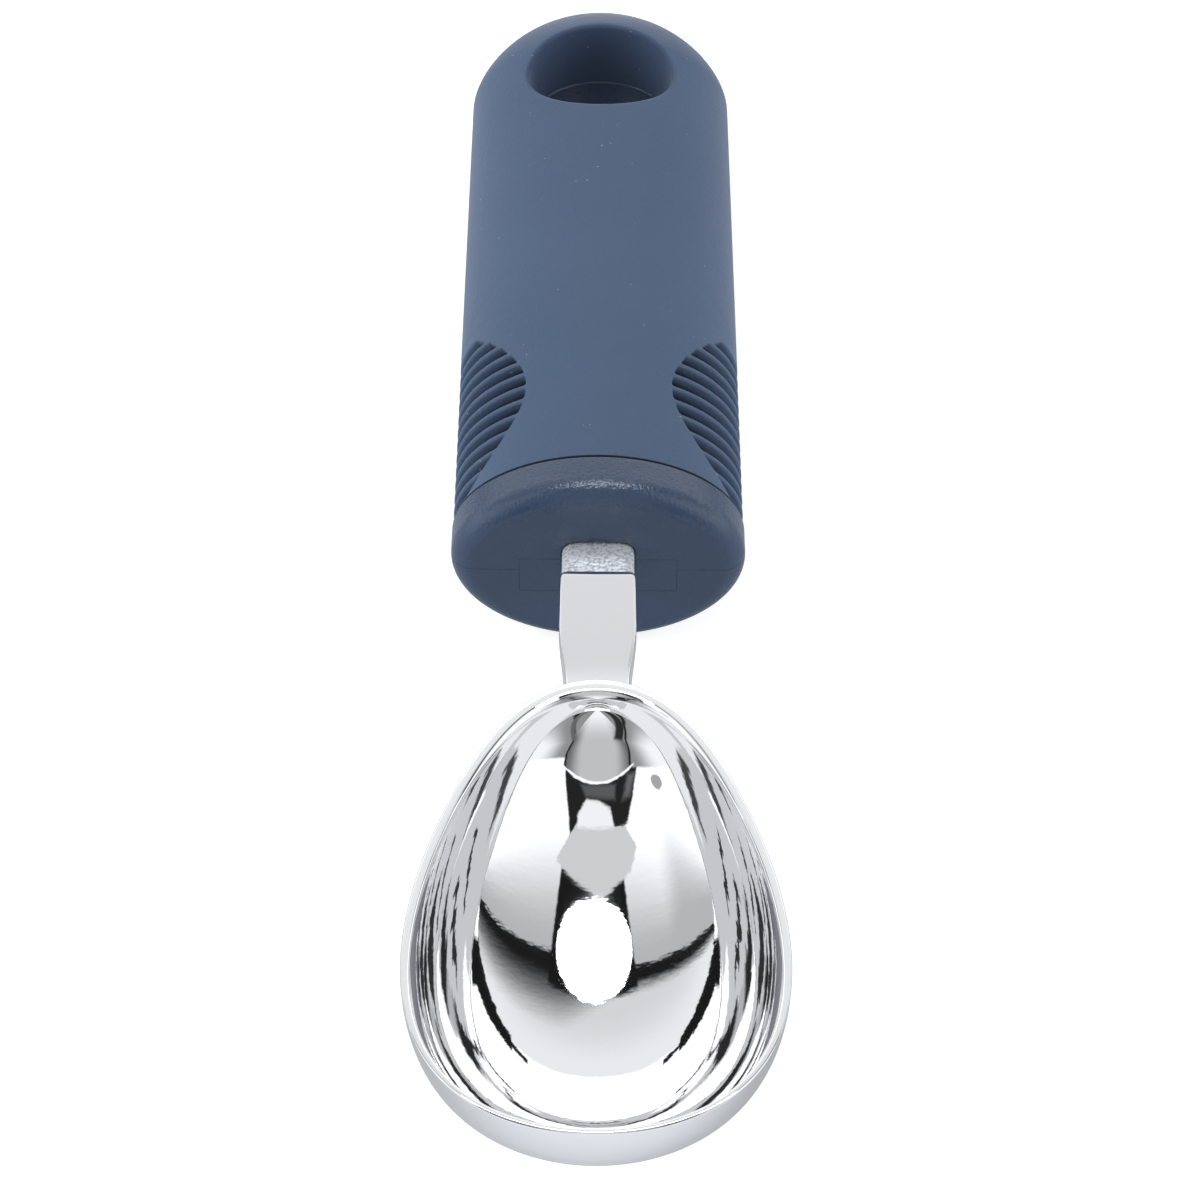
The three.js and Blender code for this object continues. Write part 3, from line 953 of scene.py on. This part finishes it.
def noise_of(tree, scale, detail=2.0, stretch=(1, 1, 1), shift=(0, 0, 0)):
    """Smooth noise, from 0 to 1 about a middle of one half."""
    mapping = tree.nodes.new("ShaderNodeMapping")
    mapping.inputs["Scale"].default_value = stretch
    mapping.inputs["Location"].default_value = shift
    tree.links.new(tree.nodes.new("ShaderNodeTexCoord").outputs["Object"], mapping.inputs["Vector"])
    node = tree.nodes.new("ShaderNodeTexNoise")
    node.inputs["Scale"].default_value = scale
    node.inputs["Detail"].default_value = detail
    tree.links.new(mapping.outputs[0], node.inputs["Vector"])
    return Wire(tree, node.outputs[0])


def finish(name):
    material = bpy.data.materials.new(name)
    material.use_nodes = True
    return material, material.node_tree, material.node_tree.nodes["Principled BSDF"]


# %% [markdown]
# Three of the finishes have a grain: the blasted casting, the spark-eroded plastic and the rubber. They share
# one node group, built once and placed in each finish with its own size and depth. It gives the grain as a
# value, for colour and dullness, and as a bump. Lines cut into a mould go in by the group's Cut input.

# %% A grain that several finishes share
grain_group = bpy.data.node_groups.new("grain", "ShaderNodeTree")
for name in ("Scale", "Detail", "Cut", "Depth", "Strength"):
    grain_group.interface.new_socket(name, in_out="INPUT", socket_type="NodeSocketFloat")
grain_group.interface.new_socket("Grain", in_out="OUTPUT", socket_type="NodeSocketFloat")
grain_group.interface.new_socket("Normal", in_out="OUTPUT", socket_type="NodeSocketVector")
given = grain_group.nodes.new("NodeGroupInput").outputs
noise = grain_group.nodes.new("ShaderNodeTexNoise")
place = grain_group.nodes.new("ShaderNodeTexCoord").outputs["Object"]
relief = grain_group.nodes.new("ShaderNodeBump")
result = grain_group.nodes.new("NodeGroupOutput").inputs
height = Wire(grain_group, noise.outputs[0]) - Wire(grain_group, given["Cut"])
for socket, value in (
    (noise.inputs["Vector"], place),
    (noise.inputs["Scale"], given["Scale"]),
    (noise.inputs["Detail"], given["Detail"]),
    (relief.inputs["Height"], height.socket),
    (relief.inputs["Distance"], given["Depth"]),
    (relief.inputs["Strength"], given["Strength"]),
    (result["Grain"], noise.outputs[0]),
    (result["Normal"], relief.outputs[0]),
):
    grain_group.links.new(value, socket)


def grain_of(tree, shader, scale, detail, depth, strength, cut=0.0):
    """Places the group, bumps the shader with it and gives back the grain's value."""
    node = tree.nodes.new("ShaderNodeGroup")
    node.node_tree = grain_group
    wanted = {"Scale": scale, "Detail": detail, "Cut": cut, "Depth": depth, "Strength": strength}
    for name, value in wanted.items():
        feed(node.inputs[name], value)
    tree.links.new(node.outputs["Normal"], shader.inputs["Normal"])
    return Wire(tree, node.outputs["Grain"])


print("grain group has", len(grain_group.nodes), "nodes")

# %% [markdown]
# Chrome plating has hardly a colour of its own. What makes it look real is that hand polishing leaves the
# casting slightly wavy, so the edges of reflections come out ragged. Two gentle bumps do that: long ripples
# that run across the scoop, and fine pits. A ray that has been mirrored many times between the bowl's walls
# is cut off in the end and would come out black. So the chrome gives it a plain light instead, grey at the
# back of the bowl and white at the front.

# %% Chrome
CHROME_COLOUR = linear(236, 236, 237)
RIPPLE_SIZE = 420
RIPPLE_STRETCH = (0.35, 1.0, 1.0)
RIPPLE_DEPTH = 0.0000065
PIT_SIZE = 1500
PIT_DEPTH = 0.0000016
SMEAR_SIZE = 90
LEAST_ROUGH = 0.012
SMEAR_ROUGH = 0.03
MANY_BOUNCES = 3.5
BACK_LIGHT, BACK_Y = linear(110, 112, 115), -0.062
FRONT_LIGHT, FRONT_Y = linear(252, 253, 255), -0.082
BLACK = (0, 0, 0, 1)
chrome, tree, shader = finish("chrome")
shader.inputs["Base Color"].default_value = CHROME_COLOUR
shader.inputs["Metallic"].default_value = 1.0
feed(shader.inputs["Roughness"], noise_of(tree, SMEAR_SIZE) * SMEAR_ROUGH + LEAST_ROUGH)
ripples = noise_of(tree, RIPPLE_SIZE, 3.0, RIPPLE_STRETCH)
pits = noise_of(tree, PIT_SIZE, 1.0)
relief = tree.nodes.new("ShaderNodeBump")
relief.inputs["Distance"].default_value = 1.0
relief.inputs["Strength"].default_value = 1.0
feed(relief.inputs["Height"], ripples * RIPPLE_DEPTH + pits * PIT_DEPTH)
tree.links.new(relief.outputs[0], shader.inputs["Normal"])
x, y, z = spot_of(tree)
plain_light = tint(BACK_LIGHT, FRONT_LIGHT, ramp(y, BACK_Y, FRONT_Y))
cut_off = ray_of(tree, "Glossy Depth") > MANY_BOUNCES
feed(shader.inputs["Emission Color"], tint(BLACK, plain_light, cut_off))
shader.inputs["Emission Strength"].default_value = 1.0
print("chrome has", len(tree.nodes), "nodes")

# %% [markdown]
# The cast root under the plating was blasted, not polished: it is the same metal with a coarse sparkle. Where
# the grain stands high it is lighter, smoother and more metallic.

# %% Cast root
blasted, tree, shader = finish("cast_root")
grit = grain_of(tree, shader, scale=2500, detail=4.0, depth=0.00012, strength=0.8)
sparkle = ramp(grit, 0.36, 0.58)
feed(shader.inputs["Base Color"], tint(linear(172, 180, 190), linear(244, 247, 251), sparkle))
feed(shader.inputs["Roughness"], paint(0.5, 0.35, sparkle))
feed(shader.inputs["Metallic"], paint(0.4, 0.55, sparkle))
print("cast root has", len(tree.nodes), "nodes")

# %% [markdown]
# The hard core is a grey-blue plastic from a spark-eroded mould: fine grain, a dull shine, and tiny glints
# where the grain turns to the light. Thin witness lines on its face show the mould's insert and where the
# mould parts. The back edge of the collar, in the seam beside the grip, is dull and has painted shade in
# its colour.

# %% Plastic
WITNESS_HALF_WIDTH = 0.05
WITNESS_CUT = 0.5
WITNESS_SHADE = 0.6
INSERT_HALF_WIDTH = 8.75
INSERT_TOP = 1.5
INSERT_FOOT = -3.1
SEAM_Y = COLLAR_Y + COLLAR_LENGTH * MM
plastic, tree, shader = finish("grained_plastic")
x, y, z = spot_of(tree)
beside = abs(x) / MM
above = (z - PARTING_Z) / MM


def hairline(value, place):
    """1 on a thin line where a value passes a place, in millimetres."""
    return ramp(abs(value - place), 2 * WITNESS_HALF_WIDTH, 0.5 * WITNESS_HALF_WIDTH)


outside_insert = beside > INSERT_HALF_WIDTH
within = abs(above - (INSERT_TOP + INSERT_FOOT) / 2) < (INSERT_TOP - INSERT_FOOT) / 2
lines = hairline(above, INSERT_TOP).calc("MAXIMUM", hairline(above, INSERT_FOOT)) * (1 - outside_insert)
lines = lines.calc("MAXIMUM", hairline(beside, INSERT_HALF_WIDTH) * within)
lines = lines.calc("MAXIMUM", hairline(above, 0) * outside_insert)
lines = lines * (y < COLLAR_Y + COLLAR_ROUND * MM)
grain = grain_of(
    tree, shader, scale=3000, detail=1.5, depth=0.000095, strength=0.7, cut=lines * WITNESS_CUT
)
base = tint(linear(41, 58, 82), linear(48, 65, 89), noise_of(tree, 60, 3.0))
# Painted shade: the seam at the back of the collar is darkened in the colour; it is also made dull
in_seam = y.calc("COMPARE", SEAM_Y, COLLAR_BACK_ROUND * MM)
shade = (lines * WITNESS_SHADE).calc("MAXIMUM", in_seam)
feed(shader.inputs["Base Color"], tint(base, linear(24, 32, 48), shade))
feed(shader.inputs["Roughness"], paint(grain * 0.1 + 0.15, 1.0, in_seam))
print("plastic has", len(tree.nodes), "nodes")

# %% [markdown]
# The soft grip is a navy rubber: matt, a little chalky where it is seen at a slant, with dust specks that
# cling to it. Light hardly gets into the grooves between the ribs, the hole and the seam at the collar, so
# shade is painted there: the rubber's colour is darkened. Each of those places is a mask, found from the
# sizes of the grip.

# %% Rubber
# Colours of the painted shade in the grooves, the seam at the collar and the hole
PAINTED_DEEP_SHADE = linear(14, 20, 32)
HOLE_SHADE = linear(34, 46, 68)
GROOVE_START, GROOVE_FLOOR = 0.985, 0.895
HOLE_FADE = 0.1
RIBS_END = COLLAR_Y + (PATCH_MIDDLE + PATCH_HALF_LENGTH) * MM
GAP_END = COLLAR_Y + (GRIP_START + 0.6 * GRIP_EDGE) * MM
rubber, tree, shader = finish("soft_rubber")
skin_grain = grain_of(tree, shader, scale=2400, detail=3.0, depth=0.00012, strength=0.5)
base = tint(linear(61, 79, 105), linear(69, 87, 113), noise_of(tree, 45, 4.0))
x, y, z = spot_of(tree)
rise = z - PARTING_Z
share = reach_of(x / (GRIP_HALF_WIDTH * MM), rise / (GRIP_HALF_THICKNESS * MM))
from_hole = reach_of((y - (COLLAR_Y + HOLE_Y * MM)) / MM, x / MM)
hole_wall = abs(rise / MM) * HOLE_DRAFT + HOLE_RADIUS
# Painted shade: the colour is darkened in the grooves between the ribs, round the hole's wall and in the seam
# next to the collar
for colour, strength, mask in (
    (PAINTED_DEEP_SHADE, 0.95, ramp(share, GROOVE_START, GROOVE_FLOOR) * (y < RIBS_END)),
    (HOLE_SHADE, 0.5, ramp(from_hole - hole_wall, LIP_ROUND, HOLE_FADE)),
    (PAINTED_DEEP_SHADE, 0.9, y < GAP_END),
):
    base = tint(base, colour, mask * strength)
dust = ramp(noise_of(tree, 2600, 0.0, shift=(1, 2, 3)), 0.86, 0.9)
feed(shader.inputs["Base Color"], tint(base, linear(130, 142, 160), dust))
feed(shader.inputs["Roughness"], skin_grain * 0.2 + 0.55)
shader.inputs["Specular IOR Level"].default_value = 0.25
shader.inputs["Sheen Weight"].default_value = 0.2
shader.inputs["Sheen Roughness"].default_value = 0.35
print("rubber has", len(tree.nodes), "nodes")

# %% Put the finishes on
for piece, finishes in ((head, (chrome, blasted)), (handle_core, (plastic,)), (handle_grip, (rubber,))):
    piece.data.materials.clear()
    for material in finishes:
        piece.data.materials.append(material)
POLISH_Y = COLLAR_Y - POLISH_START * MM
for face in head.data.polygons:
    face.material_index = int(face.center.y > POLISH_Y)
print("cast faces", sum(face.material_index for face in head.data.polygons))

# %% [markdown]
# A mirror shows the room. In the photograph the bowl reflects a studio: white panels overhead, one bright
# round lamp, a darker gap between the panels and the paper behind, and the table in front. That room is
# built as a tent that only reflections can see, so it lights nothing and throws no shadow. Its pattern is
# laid out in degrees from straight above: across to the right, and along towards the tail.

# %% The tent and its angles
TENT_RADIUS = 1.5
TENT_FOOT = 0.001
DEGREES = 180 / math.pi
tent_form = bmesh.new()
bmesh.ops.create_icosphere(tent_form, subdivisions=5, radius=TENT_RADIUS)
bmesh.ops.bisect_plane(
    tent_form,
    geom=all_of(tent_form),
    plane_co=(0, 0, TENT_FOOT),
    plane_no=(0, 0, -1),
    clear_outer=True,
)
tent = show(tent_form, "tent")
tent.location = (0, COLLAR_Y + outer_egg.middle_y * MM, 0)
tent.visible_camera = False
tent.visible_diffuse = False
tent.visible_shadow = False
tent.visible_transmission = False
tent.visible_volume_scatter = False

studio = bpy.data.materials.new("studio_tent")
studio.use_nodes = True
tree = studio.node_tree
tree.nodes.clear()
x, y, z = spot_of(tree)
slope_x, slope_y = x / z, y / z
across, along = slope_x.calc("ARCTANGENT") * DEGREES, slope_y.calc("ARCTANGENT") * DEGREES
print("tent has", len(tent.data.polygons), "faces")

# %% Shapes in the tent


def inside(corners, soft):
    """1 inside a convex shape whose corners, in degrees, are given anticlockwise."""
    nearest = None
    for (x0, y0), (x1, y1) in zip(corners, corners[1:] + corners[:1]):
        run = math.hypot(x1 - x0, y1 - y0)
        nx, ny = (y0 - y1) / run, (x1 - x0) / run
        level = across.calc("MULTIPLY_ADD", nx, -(nx * x0 + ny * y0))
        level = along.calc("MULTIPLY_ADD", ny, level)
        nearest = level if nearest is None else nearest.calc("MINIMUM", level)
    return ramp(nearest, -soft, soft)


def ellipse(middle_x, middle_y, wide, high, soft):
    return ramp(reach_of((across - middle_x) / wide, (along - middle_y) / high), 1 + soft, 1 - soft)


def stroke(x0, y0, x1, y1, half_width, soft):
    """A straight band from one point to another."""
    run = math.hypot(x1 - x0, y1 - y0)
    sx, sy = (y0 - y1) / run * half_width, (x1 - x0) / run * half_width
    return inside([(x0 - sx, y0 - sy), (x1 - sx, y1 - sy), (x1 + sx, y1 + sy), (x0 + sx, y0 + sy)], soft)


# %% Panels, the dark gap and the paper behind
WHITE = 1.4
DARK = 0.012
to_right = ramp(across, -8, 8)
far_left = ramp(across, -36, -52)
gap_bend = slope_x * slope_x * paint(0.176, 0.137, to_right)
gap_curve = (gap_bend + paint(0.184, 0.16, to_right)).calc("SQRT")
past_gap = slope_y - gap_curve
panel_fade = ramp(past_gap, paint(-0.34, -0.5, far_left), paint(-0.02, -0.12, far_left))
gap_fade = paint(0.11, 0.34, ramp(across, -12, 20))
table_grey = paint(0.78, 0.98, ramp(along, 30, 46))
behind = paint(DARK, table_grey, ramp(past_gap, 0.035, gap_fade))
light = paint(1.25, 0.55, panel_fade)
light = paint(light, behind, ramp(past_gap, -0.006, 0.006))
light = paint(light, WHITE, ramp(along, 49.2, 50.0))
light = paint(light, 0.25, ramp(along, 75, 80))

# %% Lamp, cards and the dark corner overhead
LAMP_LIGHT = 8.5
overhead = (
    (DARK, inside([(-20, 28), (-15, 12), (20.5, 12), (23, 28)], 0.6)),
    (LAMP_LIGHT, ellipse(1, 21.8, 18.5, 6.7, 0.02)),
    (0.72, inside(
        [(-25.5, 10), (-19, 5), (14, 4), (24.5, 12), (18, 13), (-3, 15.3), (-20, 13)], 0.35)),
    (0.02, inside([(-14, 6.5), (-22, 4), (-28, -2), (-41, -19), (35, -21), (27, -8), (18.5, 8.5)], 0.6)),
    (0.72, inside([(-25, 10), (-19, 5), (14, 4), (24, 12), (0, 13)], 0.3)),
    (0.16, inside([(-27, -4), (-37, -15), (-29, -14), (-21, -3)], 2.0)),
    (1.05, inside([(-12, 5), (-10, 0), (-2, -2.2), (8, -3), (14, 2), (13, 5)], 0.8)),
    (0.12, inside([(-14, -3), (-16, -9), (14, -9), (9, -4)], 1.5)),
    (0.45, ellipse(-55, -7, 5.3, 5.2, 0.06)),
)
for value, mask in overhead:
    light = paint(light, value, mask)
print("overhead", len(overhead), "shapes")

# %% The table in front, with a stand on it
front_edge = ramp(across, -10, 45) * -7.5 - 18.5
stand_edge = (-42 - along).calc("MAXIMUM", 0) * 0.9 + 36
beyond = abs(across) - stand_edge
front_grey = paint(0.33, 1.1, ramp(beyond, 5, 32))
light = paint(light, front_grey, ramp(front_edge - along, -1.2, 1.2))
stand_top = across * across * -0.0075 - 10
below_top = stand_top - along
stand = inside([(-30, 0), (-40, -34), (-40, -89), (36, -89), (36, -34), (30, 0)], 0.8)
stand_shade = inside([(-20, 0), (-31, -34), (-31, -89), (27, -89), (27, -34), (20, 0)], 9.0)
stand_grey = paint(paint(0.16, 0.62, stand_shade), 1.1, ramp(along, -38, -84))
light = paint(light, stand_grey, stand * ramp(below_top, -0.3, 0.3))

# %% Dark lines and streaks beside the stand
LINE_HALF_WIDTH = 1.2
outline = (
    ((-33, -17), (-40, -33), (-43, -45), (-60, -67), (-81, -86)),
    ((33, -18), (36.5, -30), (35.5, -42), (41, -53), (60, -72), (81, -86)),
)
for points in outline:
    for (x0, y0), (x1, y1) in zip(points, points[1:]):
        light = paint(light, 0.02, stroke(x0, y0, x1, y1, LINE_HALF_WIDTH, 0.7))
far = ramp(along, -40, -46)
streaks = (
    (0.03, ramp(beyond, -14, -9) * ramp(beyond, 1.5, -0.5) * (across < 0)),
    (0.16, ramp(beyond, -10, -2) * ramp(beyond, 3, -1) * (across > 0)),
)
for value, mask in streaks:
    light = paint(light, value, mask * far)
bright_top = ramp(abs(below_top), 1.0, 0.5) * ramp(abs(across), 40, 37)
light = paint(light, 1.2, bright_top)

# %% Dark flags at the top corners
flags = (
    (69.5, 57, 64.5, 51, 2.6),
    (66, 52, 59, 50, 3.0),
    (61, 50.2, 50.5, 49.3, 3.0),
    (52, 49.3, 43, 50.3, 2.3),
    (44, 50.3, 35, 51.6, 0.9),
    (67, 67.6, 52, 70.2, 0.5),
)
for side in (-1, 1):
    for x0, y0, x1, y1, half_width in flags:
        light = paint(light, DARK, stroke(side * x0, y0, side * x1, y1, half_width, 0.35))
print("flags", 2 * len(flags))

# %% [markdown]
# Near its edges the bowl shows the room a second time, bounced across from the other wall. The real bowl's
# wall is not a perfect egg there, so the second image is drawn on its own, as bands: light paper, dark bands
# and lines between, and light again. Noise sways them a little. The tent is told how often a ray has been
# mirrored, and each bounce's loss in the metal is given back so that the bands keep their greys.

# %% The second image
SWAY = 10.0
LOSS = 0.84
LINE_EDGE = 0.6
swayed = (noise_of(tree, 6.0) - 0.5) * SWAY + along
side_way = abs(across)
again = paint(0.8, 1.7, ramp(swayed, 20, 23))
again = paint(again, 1.7, ramp(side_way, 43, 47) * ramp(along, -16, -13))
band_top = ramp(side_way, 28, 45) * -7 + 21
dark_band = ramp(swayed, 9, 11) * ramp(band_top - swayed, 0, 2.5)
again = paint(again, 0.03, dark_band * paint(0.25, 1.0, ramp(side_way, 5, 14)))
bounces = ray_of(tree, "Glossy Depth")
wider_later = (bounces > 2.5) * 3.4 + 1.7
near = ramp(side_way, 26, 22)
for middle, half_width in ((-10.8, 1.1), (1.3, wider_later)):
    line = ramp(abs(swayed - middle), half_width + LINE_EDGE, half_width)
    again = paint(again, 0.04, line * near)
lower_band = ramp(swayed, -44, -40) * ramp(swayed, -30, -34)
again = paint(again, 1.15, ramp(swayed, -40, -44) * ramp(side_way, 52, 46))
again = paint(again, 0.08, lower_band * ramp(side_way, 34, 24))
again = again * calc(tree, "POWER", LOSS, 2 - bounces)
light = paint(light, again, bounces > 1.5)

# %% Light the tent
emission = tree.nodes.new("ShaderNodeEmission")
emission.inputs["Color"].default_value = (0.985, 1.0, 1.015, 1)
feed(emission.inputs["Strength"], light)
tree.links.new(emission.outputs[0], tree.nodes.new("ShaderNodeOutputMaterial").inputs["Surface"])
tent.data.materials.append(studio)
print("tent pattern uses", len(tree.nodes), "nodes")

# %% [markdown]
# The scoop lies on white paper. The paper glows a little, which keeps it white right to the edge of the
# picture and leaves only a faint shadow where the scoop touches it. Mirrors see it with a painted shadow:
# dark from the lip of the bowl back under the scoop, and bluish grey in front of the lip. One soft lamp
# hangs above and one stands at each side. The sky is lighter at the sides and darker behind, but the
# camera sees it white.

# %% Paper
PAPER_DROP = 0.0004
PAPER_GLOW = 0.74
LIP_FRAME_Y = COLLAR_Y + LIP_Y * MM
SHADE_REACH = 0.02
floor_form = bmesh.new()
bmesh.ops.create_grid(floor_form, x_segments=1, y_segments=1, size=3)
bmesh.ops.translate(floor_form, verts=floor_form.verts, vec=(0, 0, cad_box[0][2] - PAPER_DROP))
floor = show(floor_form, "floor")
paper, tree, shader = finish("paper")
shader.inputs["Base Color"].default_value = (0.5, 0.5, 0.5, 1)
shader.inputs["Roughness"].default_value = 1.0
shader.inputs["Specular IOR Level"].default_value = 0.0
x, y, z = spot_of(tree)
# Painted shadow for mirrors: the paper they see is dark from the bowl's lip back under the scoop, and bluish
# grey in front of the lip
before_lip = ramp(y, LIP_FRAME_Y + SHADE_REACH, LIP_FRAME_Y - SHADE_REACH)
mirrored = tint((0.1, 0.13, 0.16, 1), (0.46, 0.51, 0.58, 1), before_lip)
feed(shader.inputs["Emission Color"], tint((1, 1, 1, 1), mirrored, ray_of(tree, "Is Glossy Ray")))
shader.inputs["Emission Strength"].default_value = PAPER_GLOW
floor.data.materials.append(paper)
print("paper lies at", round(cad_box[0][2] - PAPER_DROP, 4), "m")

# %% Lamps
LAMPS = (
    ("soft_box_above", 1.2, 0.8, 2.6, (-0.3, -0.05, 1.1), (3, -15, 0)),
    ("soft_box_left", 0.8, 0.8, 9.6, (-1.0, -0.05, 0.35), (0, -71, 0)),
    ("soft_box_right", 0.8, 0.8, 7.2, (1.0, -0.05, 0.35), (0, 71, 0)),
)
for name, wide, high, energy, place, turn in LAMPS:
    lamp_data = bpy.data.lights.new(name, "AREA")
    lamp_data.shape = "RECTANGLE"
    lamp_data.size, lamp_data.size_y = wide, high
    lamp_data.energy = energy
    lamp = bpy.data.objects.new(name, lamp_data)
    lamp.location = place
    lamp.rotation_euler = [math.radians(angle) for angle in turn]
    lamp.visible_glossy = False
    bpy.context.scene.collection.objects.link(lamp)
    print(name, energy, "W")

# %% Sky
SKY_LIGHT = 0.4
SKY_SIDES = 0.9
SKY_BEHIND = -0.4
world = bpy.data.worlds.new("studio")
bpy.context.scene.world = world
world.use_nodes = True
tree = world.node_tree
sky = tree.nodes["Background"]
sky.inputs["Color"].default_value = (1, 1, 1, 1)
x, y, z = spot_of(tree, "Generated")
glow = x * x * SKY_SIDES + SKY_LIGHT + y.calc("MAXIMUM", 0) * SKY_BEHIND
feed(sky.inputs["Strength"], paint(glow.calc("MAXIMUM", 0), 1.0, ray_of(tree, "Is Camera Ray")))
bpy.context.scene.view_settings.view_transform = "Standard"
print("sky has", len(tree.nodes), "nodes")
